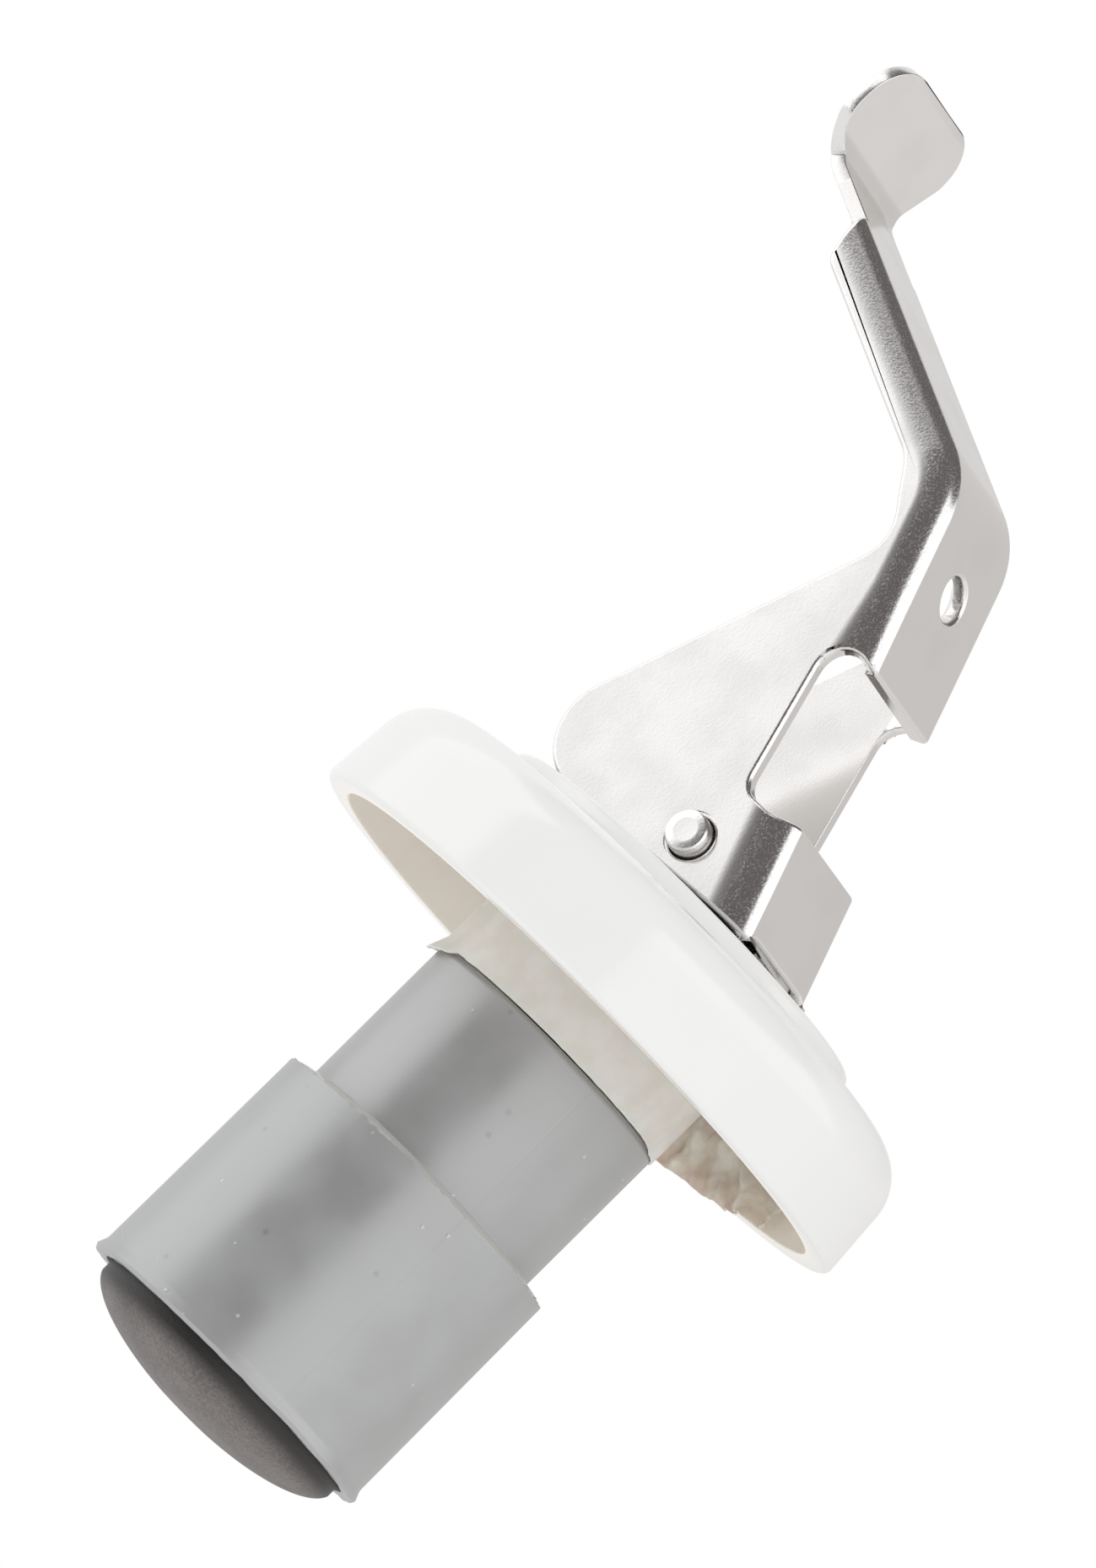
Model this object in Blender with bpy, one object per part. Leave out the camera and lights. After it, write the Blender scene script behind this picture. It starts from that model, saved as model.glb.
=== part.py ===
"""Lever-operated expanding bottle stopper.

Frame: metres, +Z along the stopper's axis towards the lever, origin at the
centre of the foot's flat end. The pivot pin runs along Y, the lever's spine
is on the +X side, and the lever folds towards -X.
"""

import math

import bmesh
import bpy

MM = 0.001

# Stopper body, all in millimetres. Heights are from the foot's flat end.
RIM_Z = 28.1                # lower rim of the cap's skirt
RING_STEPS = 72             # facets round a large turned piece

CAP_RIM_R = 18.1
CAP_SHOULDER_R = 17.6
CAP_RIM_INNER_R = 16.5
CAP_CEILING_R = 16.2
CAP_CEILING_Z = RIM_Z + 4.6
CAP_FLANGE_EDGE_Z = RIM_Z + 6.5
CAP_SHOULDER_ROUND = 3.0
CAP_FLANGE_Z = RIM_Z + 6.98
BOSS_R = 11.7
BOSS_Z = RIM_Z + 7.94

SEAL_R = 15.8
SEAL_TOP_Z = RIM_Z + 4.3
LIP_SEAT_Z = RIM_Z + 3.3    # plane that the bottle's lip meets
COLLAR_R = 7.75
COLLAR_END_Z = RIM_Z - 1.75
BORE_R = 4.6                # bore of the collar and of the rubber

SLEEVE_TOP_Z = RIM_Z - 2.05
SLEEVE_NECK_R = 7.65
SLEEVE_STEP_Z = RIM_Z - 11.75
SLEEVE_STEP_R = 9.0
SLEEVE_STEP_RISE = 0.5      # the step slopes up to the neck
SLEEVE_END_Z = RIM_Z - 25.4
SLEEVE_END_R = 9.1
SLEEVE_LIP_R = 9.35
SLEEVE_POCKET_R = 8.45
SLEEVE_POCKET_DEPTH = 1.0

FOOT_R = 8.15
FOOT_TOP_Z = RIM_Z - 24.7
FOOT_FLAT_R = 2.4
DOME_R = 8.2
DOME_H = 2.5

# Plunger's shank and eye.
SHANK_X = 6.4
SHANK_Y = 7.2
SHANK_EDGE = 1.4
SLOT_GAP = 0.15

# Pivot pin.
PIN_Z = RIM_Z + 10.6
PIN_R = 1.2
PIN_LENGTH = 11.2
EYE_GAP = 0.07
PRESS_GAP = 0.04

# Lever, a bent sheet channel. Its outline is measured from the pin.
LEVER_W = 9.6
SHEET = 0.8
BEND_R = 1.9
SPINE_LEAN = math.radians(22.8)     # spine, from the vertical
SPINE_DIST = 5.25                   # pin to the spine's outer face
ARM_RISE = math.radians(23.1)       # arm, above the horizontal
ARM_NORMAL = math.pi / 2 - ARM_RISE
ARM_DIST = 19.92                    # pin to the arm's outer face
ARM_END = 28.95                     # end of the arm's legs, along the arm
ARM_DEPTH = 2.55
KNEE_R = 6.0
CAM_R = 3.6                         # cheeks' rolling corner
BACK_LINE = (11.08, math.radians(157.1))    # long straight free edge
BASE_LINE = (-2.093, math.radians(91.26))   # lower edge, above the boss
WAIST_LINE = (8.3, math.radians(39.7))      # edge under the knee
SPINE_FOOT_Z = -1.95
SPINE_HOLE_R = 1.22
SPINE_HOLE_Z = 18.72
TAB_W = 7.0
PADDLE_W = 10.5
PADDLE_X = -24.9                    # paddle's face towards the spine
PADDLE_TOP_Z = 38.2
PADDLE_CORNER = 3.5
PADDLE_BASE_Z = 32.5
PADDLE_NOTCH = 1.7
TAB_BEND_R = 1.1                    # to the middle of the sheet
TAB_LAP = 0.9                       # tab's hold inside the arm's end

# Motion that the cam tracks in the boss leave room for.
FOLD_MAX = math.radians(110)
LIFT_MAX = 8.65
CAM_GAP = 0.22
TRACK_IN = 3.6
TRACK_OUT = 5.05


def clear_scene():
    for obj in list(bpy.data.objects):
        bpy.data.objects.remove(obj, do_unlink=True)


def make_material(name, colour, roughness, metallic=0.0):
    material = bpy.data.materials.new(name)
    material.use_nodes = True
    shader = material.node_tree.nodes["Principled BSDF"]
    shader.inputs["Base Color"].default_value = (*colour, 1.0)
    shader.inputs["Roughness"].default_value = roughness
    shader.inputs["Metallic"].default_value = metallic
    return material


def rounded(corners, step=math.radians(15)):
    """An outline with each corner (a, b, radius) turned into an arc."""
    points = []
    count = len(corners)
    for i, (a, b, radius) in enumerate(corners):
        if radius <= 0:
            points.append((a, b))
            continue
        before, after = corners[i - 1], corners[(i + 1) % count]
        into = math.atan2(b - before[1], a - before[0])
        out = math.atan2(after[1] - b, after[0] - a)
        turn = (out - into + math.pi) % (2 * math.pi) - math.pi
        back = radius * math.tan(abs(turn) / 2)
        side = math.copysign(1, turn)
        start = (a - back * math.cos(into), b - back * math.sin(into))
        centre = (
            start[0] - side * radius * math.sin(into),
            start[1] + side * radius * math.cos(into),
        )
        pieces = max(2, math.ceil(abs(turn) / step))
        for k in range(pieces + 1):
            angle = into + turn * k / pieces
            points.append((
                centre[0] + side * radius * math.sin(angle),
                centre[1] - side * radius * math.cos(angle),
            ))
    return points


def lathe(outline, steps=RING_STEPS):
    """A bmesh turned about Z from a closed outline of (radius, z)."""
    bm = bmesh.new()
    rings = []
    for radius, z in outline:
        if radius < 1e-6:
            rings.append([bm.verts.new((0, 0, z * MM))] * steps)
            continue
        ring = []
        for k in range(steps):
            angle = 2 * math.pi * k / steps
            spot = (radius * math.cos(angle), radius * math.sin(angle), z)
            ring.append(bm.verts.new([c * MM for c in spot]))
        rings.append(ring)
    for i, ring in enumerate(rings):
        other = rings[(i + 1) % len(rings)]
        for k in range(steps):
            j = (k + 1) % steps
            loop = list(dict.fromkeys((ring[k], ring[j], other[j], other[k])))
            if len(loop) > 2:
                bm.faces.new(loop)
    bmesh.ops.recalc_face_normals(bm, faces=bm.faces)
    return bm


def prism(outline, low, high):
    """A bmesh extruded along Y from a closed outline of (x, z)."""
    bm = bmesh.new()
    near = [bm.verts.new((x * MM, low * MM, z * MM)) for x, z in outline]
    far = [bm.verts.new((x * MM, high * MM, z * MM)) for x, z in outline]
    bm.faces.new(near)
    bm.faces.new(far)
    for i in range(len(outline)):
        j = (i + 1) % len(outline)
        bm.faces.new((near[i], near[j], far[j], far[i]))
    bmesh.ops.recalc_face_normals(bm, faces=bm.faces)
    return bm


def round_edges(bm, chosen, radius, segments):
    """Rounds the edges along both flat sides whose ends are all chosen."""
    edges = []
    for edge in bm.edges:
        a, b = (v.co / MM for v in edge.verts)
        level = abs(a.y - b.y) < 1e-4
        if level and chosen(a.x, a.z) and chosen(b.x, b.z):
            edges.append(edge)
    bmesh.ops.bevel(
        bm, geom=edges, offset=radius * MM, offset_type="OFFSET",
        segments=segments, profile=0.5, affect="EDGES", clamp_overlap=False,
    )


def make_object(name, bm, material=None):
    mesh = bpy.data.meshes.new(name)
    bm.to_mesh(mesh)
    bm.free()
    obj = bpy.data.objects.new(name, mesh)
    bpy.context.scene.collection.objects.link(obj)
    if material:
        mesh.materials.append(material)
        mesh.shade_smooth()
        mesh.set_sharp_from_angle(angle=math.radians(30))
    return obj


def combine(obj, bm, operation):
    """Adds a Boolean of a hidden tool shape to the object."""
    tool = make_object(obj.name + "_tool", bm)
    tool.hide_render = True
    tool.display_type = "WIRE"
    tool.parent = obj
    modifier = obj.modifiers.new(operation.lower(), "BOOLEAN")
    modifier.operation = operation
    modifier.solver = "EXACT"
    modifier.object = tool
    return tool


def cylinder_y(radius, half_length, z, steps=32):
    """A bmesh cylinder along Y at the height z on the axis."""
    outline = [
        (radius * math.cos(2 * math.pi * k / steps),
         z + radius * math.sin(2 * math.pi * k / steps))
        for k in range(steps)
    ]
    return prism(outline, -half_length, half_length)


def on_line(distance, angle, along):
    """The point at a distance from the pin, and along the line there."""
    return (
        distance * math.cos(angle) - along * math.sin(angle),
        distance * math.sin(angle) + along * math.cos(angle),
    )


def crossing(first, second):
    """Where two lines, each (distance from pin, angle of normal), meet."""
    (d1, a1), (d2, a2) = first, second
    span = math.sin(a2 - a1)
    return (
        (d1 * math.sin(a2) - d2 * math.sin(a1)) / span,
        (d2 * math.cos(a1) - d1 * math.cos(a2)) / span,
    )


def cam_centre():
    """Centre of the cheeks' rolling corner, measured from the pin."""
    back = (BACK_LINE[0] - CAM_R, BACK_LINE[1])
    base = (BASE_LINE[0] + CAM_R, BASE_LINE[1])
    return crossing(back, base)


def cam_floor(x):
    """Lowest height that the cheeks' corner reaches at x during a fold."""
    cam_x, cam_z = cam_centre()
    reach = math.hypot(cam_x, cam_z)
    start = math.atan2(cam_z, cam_x)
    lowest = BOSS_Z + 1.0
    for k in range(221):
        share = k / 220
        angle = start + FOLD_MAX * share
        centre_x = reach * math.cos(angle)
        centre_z = PIN_Z + LIFT_MAX * share + reach * math.sin(angle)
        radius = CAM_R + CAM_GAP
        if abs(x - centre_x) < radius:
            drop = math.sqrt(radius ** 2 - (x - centre_x) ** 2)
            lowest = min(lowest, centre_z - drop)
    return lowest


def cam_track(side):
    """Room above one cam track: its floor follows the rolling corner."""
    first, last, steps = -11.2, 4.8, 64
    floor = []
    for k in range(steps + 1):
        x = first + (last - first) * k / steps
        floor.append((x, cam_floor(x)))
    inside = [(x, z) for x, z in floor if z < BOSS_Z - 0.02]
    top = BOSS_Z + 1.0
    start, end = inside[0], inside[-1]
    outline = [(start[0] - 0.15, top), *inside, (end[0] + 0.15, top)]
    low, high = sorted((side * TRACK_IN, side * TRACK_OUT))
    return prism(outline, low, high)


def shank_section(gap, low, high):
    """The shank's rounded rectangle as an upright bar, grown by gap."""
    half_x, half_y = SHANK_X / 2 + gap, SHANK_Y / 2 + gap
    radius = SHANK_EDGE + gap
    outline = rounded([
        (half_x, half_y, radius),
        (-half_x, half_y, radius),
        (-half_x, -half_y, radius),
        (half_x, -half_y, radius),
    ], math.radians(30))
    bm = bmesh.new()
    base = [bm.verts.new((x * MM, y * MM, low * MM)) for x, y in outline]
    top = [bm.verts.new((x * MM, y * MM, high * MM)) for x, y in outline]
    bm.faces.new(base)
    bm.faces.new(top)
    for i in range(len(outline)):
        j = (i + 1) % len(outline)
        bm.faces.new((base[i], base[j], top[j], top[i]))
    bmesh.ops.recalc_face_normals(bm, faces=bm.faces)
    return bm


def make_cap(material):
    outline = rounded([
        (CAP_RIM_INNER_R, RIM_Z, 0.3),
        (CAP_RIM_R, RIM_Z, 0.4),
        (CAP_SHOULDER_R, CAP_FLANGE_EDGE_Z, CAP_SHOULDER_ROUND),
        (BOSS_R + 0.5, CAP_FLANGE_Z, 0.4),
        (BOSS_R, BOSS_Z, 0.6),
        (0.0, BOSS_Z, 0),
        (0.0, CAP_CEILING_Z, 0),
        (CAP_CEILING_R, CAP_CEILING_Z, 0.8),
    ])
    cap = make_object("cap", lathe(outline), material)
    slot = shank_section(SLOT_GAP, CAP_CEILING_Z - 2, BOSS_Z + 2)
    combine(cap, slot, "DIFFERENCE")
    for side in (-1, 1):
        combine(cap, cam_track(side), "DIFFERENCE")
    return cap


def make_seal_collar(material):
    outline = rounded([
        (BORE_R, SEAL_TOP_Z, 0),
        (BORE_R, COLLAR_END_Z, 0),
        (COLLAR_R, COLLAR_END_Z, 0.3),
        (COLLAR_R, LIP_SEAT_Z, 0.3),
        (SEAL_R, LIP_SEAT_Z, 0),
        (SEAL_R, SEAL_TOP_Z, 0.3),
    ], math.radians(30))
    return make_object("seal_collar", lathe(outline), material)


def make_rubber_sleeve(material):
    pocket_z = SLEEVE_END_Z + SLEEVE_POCKET_DEPTH
    outline = rounded([
        (BORE_R, SLEEVE_TOP_Z, 0),
        (BORE_R, pocket_z, 0),
        (SLEEVE_POCKET_R, pocket_z, 0),
        (SLEEVE_POCKET_R, SLEEVE_END_Z, 0),
        (SLEEVE_LIP_R, SLEEVE_END_Z, 0),
        (SLEEVE_END_R, SLEEVE_END_Z + 0.5, 0),
        (SLEEVE_STEP_R, SLEEVE_STEP_Z, 0.3),
        (SLEEVE_NECK_R, SLEEVE_STEP_Z + SLEEVE_STEP_RISE, 0),
        (SLEEVE_NECK_R, SLEEVE_TOP_Z, 0.5),
    ], math.radians(30))
    return make_object("rubber_sleeve", lathe(outline), material)


def dome_rise(radius):
    """Height of the foot's elliptical dome above its pole."""
    return DOME_H * (1 - math.sqrt(1 - (radius / DOME_R) ** 2))


def make_plunger(material):
    """Domed foot and keyed shank with the pin's eye, moulded as one."""
    foot = [(0.0, FOOT_TOP_Z), (0.0, 0.0)]
    for k in range(15):
        radius = FOOT_FLAT_R + (FOOT_R - FOOT_FLAT_R) * math.sin(math.pi * k / 28)
        foot.append((radius, dome_rise(radius) - dome_rise(FOOT_FLAT_R)))
    foot += [(FOOT_R, FOOT_TOP_Z - 0.2), (FOOT_R - 0.2, FOOT_TOP_Z)]
    plunger = make_object("plunger", lathe(foot), material)
    half = SHANK_X / 2
    low = FOOT_TOP_Z - 1.5
    outline = [(-half, low), (half, low)]
    for k in range(25):
        angle = math.pi * k / 24
        outline.append((half * math.cos(angle), PIN_Z + half * math.sin(angle)))
    shank = prism(outline, -SHANK_Y / 2, SHANK_Y / 2)
    round_edges(shank, lambda x, z: abs(x) > half - 0.01 or z > PIN_Z - 0.01,
                SHANK_EDGE, 3)
    combine(plunger, shank, "UNION")
    eye = cylinder_y(PIN_R + EYE_GAP, SHANK_Y, PIN_Z)
    combine(plunger, eye, "DIFFERENCE")
    return plunger


def make_pin(material):
    """Pin whose blunt ends stand proud of the lever's cheeks."""
    half = PIN_LENGTH / 2
    pin = make_object("pivot_pin", cylinder_y(PIN_R, half, 0), material)
    pin.location.z = PIN_Z * MM
    bevel = pin.modifiers.new("ends", "BEVEL")
    bevel.width = 0.15 * MM
    bevel.segments = 2
    bevel.limit_method = "ANGLE"
    bevel.angle_limit = math.radians(60)
    return pin


def cheek_outline():
    """The channel's side outline, measured from the pin."""
    spine = (SPINE_DIST, SPINE_LEAN)
    arm = (ARM_DIST, ARM_NORMAL)
    arm_edge = (ARM_DIST - ARM_DEPTH, ARM_NORMAL)
    spine_foot = (
        (SPINE_DIST - SPINE_FOOT_Z * math.sin(SPINE_LEAN)) / math.cos(SPINE_LEAN),
        SPINE_FOOT_Z,
    )
    return rounded([
        (*crossing(BACK_LINE, BASE_LINE), CAM_R),
        (*spine_foot, 0),
        (*crossing(spine, arm), KNEE_R),
        (*on_line(ARM_DIST, ARM_NORMAL, ARM_END), 0),
        (*on_line(ARM_DIST - ARM_DEPTH, ARM_NORMAL, ARM_END), 1.2),
        (*crossing(arm_edge, WAIST_LINE), 2.6),
        (*crossing(WAIST_LINE, BACK_LINE), 2.7),
    ], math.radians(9))


def channel_outline():
    """The room between the cheeks: the spine's inner face and beyond."""
    spine = (SPINE_DIST - SHEET, SPINE_LEAN)
    arm = (ARM_DIST - SHEET, ARM_NORMAL)
    return rounded([
        (*on_line(SPINE_DIST - SHEET, SPINE_LEAN, -8), 0),
        (*crossing(spine, arm), KNEE_R - SHEET),
        (*on_line(ARM_DIST - SHEET, ARM_NORMAL, ARM_END + 2), 0),
        (-30, 20, 0),
        (-30, -8, 0),
    ], math.radians(9))


def window_outline():
    """The cut across the spine and into both cheeks."""
    return rounded([
        (0.25, 3.65, 1.3),
        (2.4, 3.65, 2.0),
        (4.2, 4.35, 0),
        (8.0, 4.5, 0),
        (8.0, 11.2, 0),
        (-2.8, 13.25, 1.2),
    ], math.radians(15))


def tab_path():
    """Stations (x, z, direction, half width) along the tab's middle.

    The strip leaves the arm, turns up through a bend and widens into the
    thumb paddle, whose corners are round.
    """
    middle = SHEET / 2
    upright_x = PADDLE_X - middle
    start = on_line(ARM_DIST - middle, ARM_NORMAL, ARM_END - TAB_LAP)
    along = math.pi - ARM_RISE
    corner_z = start[1] + (start[0] - upright_x) * math.tan(ARM_RISE)
    turn = along - math.pi / 2
    back = TAB_BEND_R * math.tan(turn / 2)
    neck = TAB_W / 2
    stations = [(*start, along, neck)]
    centre_x = upright_x + TAB_BEND_R
    for k in range(6):
        angle = along - turn * k / 5
        x = centre_x - TAB_BEND_R * math.sin(angle)
        z = corner_z + back + TAB_BEND_R * math.cos(angle)
        stations.append((x, z, angle, neck))
    stations.append((upright_x, PADDLE_BASE_Z, math.pi / 2, neck))
    for z, half in paddle_widths():
        stations.append((upright_x, z, math.pi / 2, half))
    return stations


def paddle_widths():
    """Heights and half widths up the paddle: a plate with round corners."""
    half = PADDLE_W / 2
    low = PADDLE_BASE_Z + 0.15
    widths = []
    for k in range(6):
        rise = math.pi / 2 * k / 5
        widths.append((
            low + PADDLE_NOTCH * (1 - math.cos(rise)),
            half - PADDLE_NOTCH * (1 - math.sin(rise)),
        ))
    for k in range(9):
        rise = math.pi / 2 * k / 8
        widths.append((
            PADDLE_TOP_Z - PADDLE_CORNER * (1 - math.sin(rise)),
            half - PADDLE_CORNER * (1 - math.cos(rise)),
        ))
    return widths


def tab_plate():
    """The sheet that follows the tab's path, as one closed solid."""
    bm = bmesh.new()
    frames = []
    for x, z, angle, half in tab_path():
        out_x, out_z = math.sin(angle), -math.cos(angle)
        frame = []
        for side, depth in ((-1, 1), (1, 1), (1, -1), (-1, -1)):
            reach = depth * SHEET / 2
            spot = (x + out_x * reach, side * half, z + out_z * reach)
            frame.append(bm.verts.new([c * MM for c in spot]))
        frames.append(frame)
    for before, after in zip(frames, frames[1:]):
        for k in range(4):
            j = (k + 1) % 4
            bm.faces.new((before[k], before[j], after[j], after[k]))
    bm.faces.new(frames[0])
    bm.faces.new(frames[-1])
    bmesh.ops.recalc_face_normals(bm, faces=bm.faces)
    return bm


def spine_hole():
    """A cutter square to the spine for its round hole."""
    centre = on_line(SPINE_DIST, SPINE_LEAN, 0)
    along = (SPINE_HOLE_Z - centre[1]) / math.cos(SPINE_LEAN)
    x, z = on_line(SPINE_DIST, SPINE_LEAN, along)
    bm = bmesh.new()
    bmesh.ops.create_cone(
        bm, cap_ends=True, segments=32, radius1=SPINE_HOLE_R * MM,
        radius2=SPINE_HOLE_R * MM, depth=4 * MM,
    )
    turn = math.pi / 2 - SPINE_LEAN
    for vert in bm.verts:
        a, b = vert.co.x, vert.co.z
        vert.co.x = a * math.cos(turn) + b * math.sin(turn) + x * MM
        vert.co.z = -a * math.sin(turn) + b * math.cos(turn) + z * MM
    return bm


def near_spine(distance):
    """A test for outline points on the spine, the knee or the arm."""
    def chosen(x, z):
        spine = x * math.cos(SPINE_LEAN) + z * math.sin(SPINE_LEAN)
        arm = x * math.cos(ARM_NORMAL) + z * math.sin(ARM_NORMAL)
        on_spine = abs(spine - distance[0]) < 0.01
        on_arm = abs(arm - distance[1]) < 0.01
        in_knee = spine > distance[0] - 2.0 and arm > distance[1] - 2.0
        return on_spine or on_arm or in_knee
    return chosen


def make_lever(material):
    half = LEVER_W / 2
    body = prism(cheek_outline(), -half, half)
    round_edges(body, near_spine((SPINE_DIST, ARM_DIST)), BEND_R, 4)
    lever = make_object("lever", body, material)
    lever.location.z = PIN_Z * MM
    room = prism(channel_outline(), SHEET - half, half - SHEET)
    inner = (SPINE_DIST - SHEET, ARM_DIST - SHEET)
    round_edges(room, near_spine(inner), BEND_R - SHEET, 4)
    combine(lever, room, "DIFFERENCE")
    combine(lever, prism(window_outline(), -half - 1, half + 1), "DIFFERENCE")
    combine(lever, spine_hole(), "DIFFERENCE")
    pin_hole = cylinder_y(PIN_R + PRESS_GAP, half + 1, 0)
    combine(lever, pin_hole, "DIFFERENCE")
    combine(lever, tab_plate(), "UNION")
    return lever


def main():
    clear_scene()
    steel = make_material("nickel_steel", (0.62, 0.60, 0.58), 0.32, 1.0)
    pin_steel = make_material("pin_steel", (0.72, 0.71, 0.70), 0.25, 1.0)
    white = make_material("white_plastic", (0.88, 0.88, 0.87), 0.18)
    milky = make_material("milky_plastic", (0.80, 0.79, 0.76), 0.30)
    rubber = make_material("grey_rubber", (0.40, 0.41, 0.41), 0.60)
    dark = make_material("dark_nylon", (0.060, 0.053, 0.050), 0.55)
    make_cap(white)
    make_seal_collar(milky)
    make_rubber_sleeve(rubber)
    make_plunger(dark)
    make_pin(pin_steel)
    make_lever(steel)


main()
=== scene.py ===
"""Visual model of a lever-operated expanding bottle stopper, on its CAD frame.

Lengths are millimetres from the foot's flat end unless a name says otherwise.
The lever's outlines are measured from its pivot pin.
"""

import math

import bmesh
import bpy
from mathutils import Matrix, Vector, noise


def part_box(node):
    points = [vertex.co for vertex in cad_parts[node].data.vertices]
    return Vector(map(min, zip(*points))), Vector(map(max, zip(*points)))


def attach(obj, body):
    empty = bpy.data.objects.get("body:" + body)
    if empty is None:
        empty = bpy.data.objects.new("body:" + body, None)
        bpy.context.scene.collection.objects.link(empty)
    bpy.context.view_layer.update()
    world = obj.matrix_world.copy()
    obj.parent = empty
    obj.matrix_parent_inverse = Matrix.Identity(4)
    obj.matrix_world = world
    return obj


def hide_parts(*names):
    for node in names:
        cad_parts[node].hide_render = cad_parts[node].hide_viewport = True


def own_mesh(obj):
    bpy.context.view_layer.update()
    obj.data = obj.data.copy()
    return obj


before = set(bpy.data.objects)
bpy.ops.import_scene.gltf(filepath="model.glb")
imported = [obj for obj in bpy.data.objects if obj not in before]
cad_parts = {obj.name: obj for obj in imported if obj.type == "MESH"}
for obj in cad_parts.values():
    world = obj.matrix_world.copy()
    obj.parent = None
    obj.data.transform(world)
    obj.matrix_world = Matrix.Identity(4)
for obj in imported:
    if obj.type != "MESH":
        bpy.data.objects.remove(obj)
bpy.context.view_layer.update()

MM = 0.001

# Heights of the shared frame.
RIM_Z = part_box("cap")[0].z / MM
SLEEVE_TOP_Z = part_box("rubber_sleeve")[1].z / MM
SLEEVE_END_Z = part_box("rubber_sleeve")[0].z / MM
PIN_LOW, PIN_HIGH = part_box("pivot_pin")
PIN_Z = (PIN_LOW.z + PIN_HIGH.z) / 2 / MM
PIN_R = (PIN_HIGH.z - PIN_LOW.z) / 2 / MM
PIN_LENGTH = (PIN_HIGH.y - PIN_LOW.y) / MM

# Cap, insert, sleeve and foot.
CAP_RIM_R = 18.1
CAP_SHOULDER_R = 17.6
CAP_RIM_INNER_R = 16.5
CAP_CEILING_R = 16.2
CAP_CEILING_Z = RIM_Z + 4.6
CAP_FLANGE_EDGE_Z = RIM_Z + 6.5
CAP_SHOULDER_ROUND = 3.0
CAP_FLANGE_Z = RIM_Z + 6.98
BOSS_R = 11.7
BOSS_Z = RIM_Z + 7.94
SEAL_R = 15.8
SEAL_TOP_Z = RIM_Z + 4.3
LIP_SEAT_Z = RIM_Z + 3.3
COLLAR_R = 7.75
COLLAR_END_Z = RIM_Z - 1.75
FLASH_HEIGHT = 0.35         # the collar's end is uneven over this height
BLOB_X = -7.72              # flash's thick spots across the collar, in view
TAIL_X = 7.74
FILM_TURN = math.radians(44.5)      # liner scrap's middle, from the camera
FILM_SPREAD = math.radians(21)
FILM_R = 15.1
FILM_HEIGHT = 2.6           # its top edge, above the cap's rim
FILM_SHEET = 0.08
BORE_R = 4.6
SLEEVE_NECK_R = 7.65
SLEEVE_STEP_Z = RIM_Z - 11.75
SLEEVE_STEP_R = 9.0
SLEEVE_END_R = 9.1
SLEEVE_LIP_R = 9.32
SLEEVE_POCKET_R = 8.45
SLEEVE_POCKET_DEPTH = 1.3   # room for the foot when the sleeve shortens
PARTING_X = 2.88            # parting line's place across the sleeve, in view
PARTING_WIDTH = 0.007       # half its width, as an angle
PARTING_RISE = 0.014
FOOT_R = 8.15
FOOT_TOP_Z = RIM_Z - 24.7
FOOT_FLAT_R = 2.4
DOME_R = 8.2
DOME_H = 2.5
SHANK_X = 6.4
SHANK_Y = 7.2
SHANK_EDGE = 1.4
SLOT_GAP = 0.15
EYE_GAP = 0.07

# Lever.
LEVER_W = 9.6
SHEET = 0.8
BEND_ACROSS = 1.1           # the bend's reach over the spine
BEND_DOWN = 2.4             # and down the cheek, before it is stretched
BEND_DOWN_SPINE = 2.8
BEND_DOWN_ARM = 2.05
BEND_TAPER = (11.0, 17.0)   # heights between which it goes from one to the other
ARM_END_SLANT = 2.0         # the bend reaches this far past the cheek
SPINE_LEAN = math.radians(22.8)
SPINE_DIST = 5.25
ARM_RISE = math.radians(23.1)
ARM_NORMAL = math.pi / 2 - ARM_RISE
ARM_DIST = 19.92
ARM_END = 28.95
ARM_DEPTH = 2.55
KNEE_R = 6.0
CAM_R = 3.6
BACK_LINE = (11.08, math.radians(157.1))
BASE_LINE = (-2.093, math.radians(91.26))
WAIST_LINE = (8.3, math.radians(39.7))
SPINE_FOOT_Z = -1.95
SPINE_HOLE_R = 1.22
SPINE_HOLE_Z = 18.72
TAB_W = 7.0
PADDLE_X = -24.9
TAB_BEND_R = 1.5
TAB_DROP = 0.004            # keeps the paddle's top inside the CAD box
HOLE_STEPS = 56
EDGE_ROUND = 0.25           # worn edge of the sheet
TAB_EDGE_ROUND = 0.06
INNER_EDGE_ROUND = 0.05
FOLD_MAX = math.radians(110)
LIFT_MAX = 8.65
CAM_GAP = 0.15
TRACK_IN = 3.6
TRACK_OUT = 5.05

# Directions of the camera and of the studio round it.
CAMERA_AZIMUTH = math.radians(35)       # from -Y towards +X
CAMERA_DROP = math.radians(5.53)        # looks up from below the rim
CAMERA_ROLL = math.radians(44.7)
CAMERA_DISTANCE = 0.9
VIEW_HEIGHT = 0.080086                  # metres across the image at the rim
RIM_RIGHT = 0.0014254                   # rim centre's place in the image
RIM_UP = -0.012305


# ---------------------------------------------------------------- outlines

def rounded(corners, step=math.radians(6)):
    """An outline with each corner (a, b, radius) turned into an arc."""
    points = []
    count = len(corners)
    for i, (a, b, radius) in enumerate(corners):
        if radius <= 0:
            points.append((a, b))
            continue
        before, after = corners[i - 1], corners[(i + 1) % count]
        into = math.atan2(b - before[1], a - before[0])
        out = math.atan2(after[1] - b, after[0] - a)
        turn = (out - into + math.pi) % (2 * math.pi) - math.pi
        back = radius * math.tan(abs(turn) / 2)
        side = math.copysign(1, turn)
        start = (a - back * math.cos(into), b - back * math.sin(into))
        centre = (
            start[0] - side * radius * math.sin(into),
            start[1] + side * radius * math.cos(into),
        )
        pieces = max(2, math.ceil(abs(turn) / step))
        for k in range(pieces + 1):
            angle = into + turn * k / pieces
            points.append((
                centre[0] + side * radius * math.sin(angle),
                centre[1] - side * radius * math.cos(angle),
            ))
    return points


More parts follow.
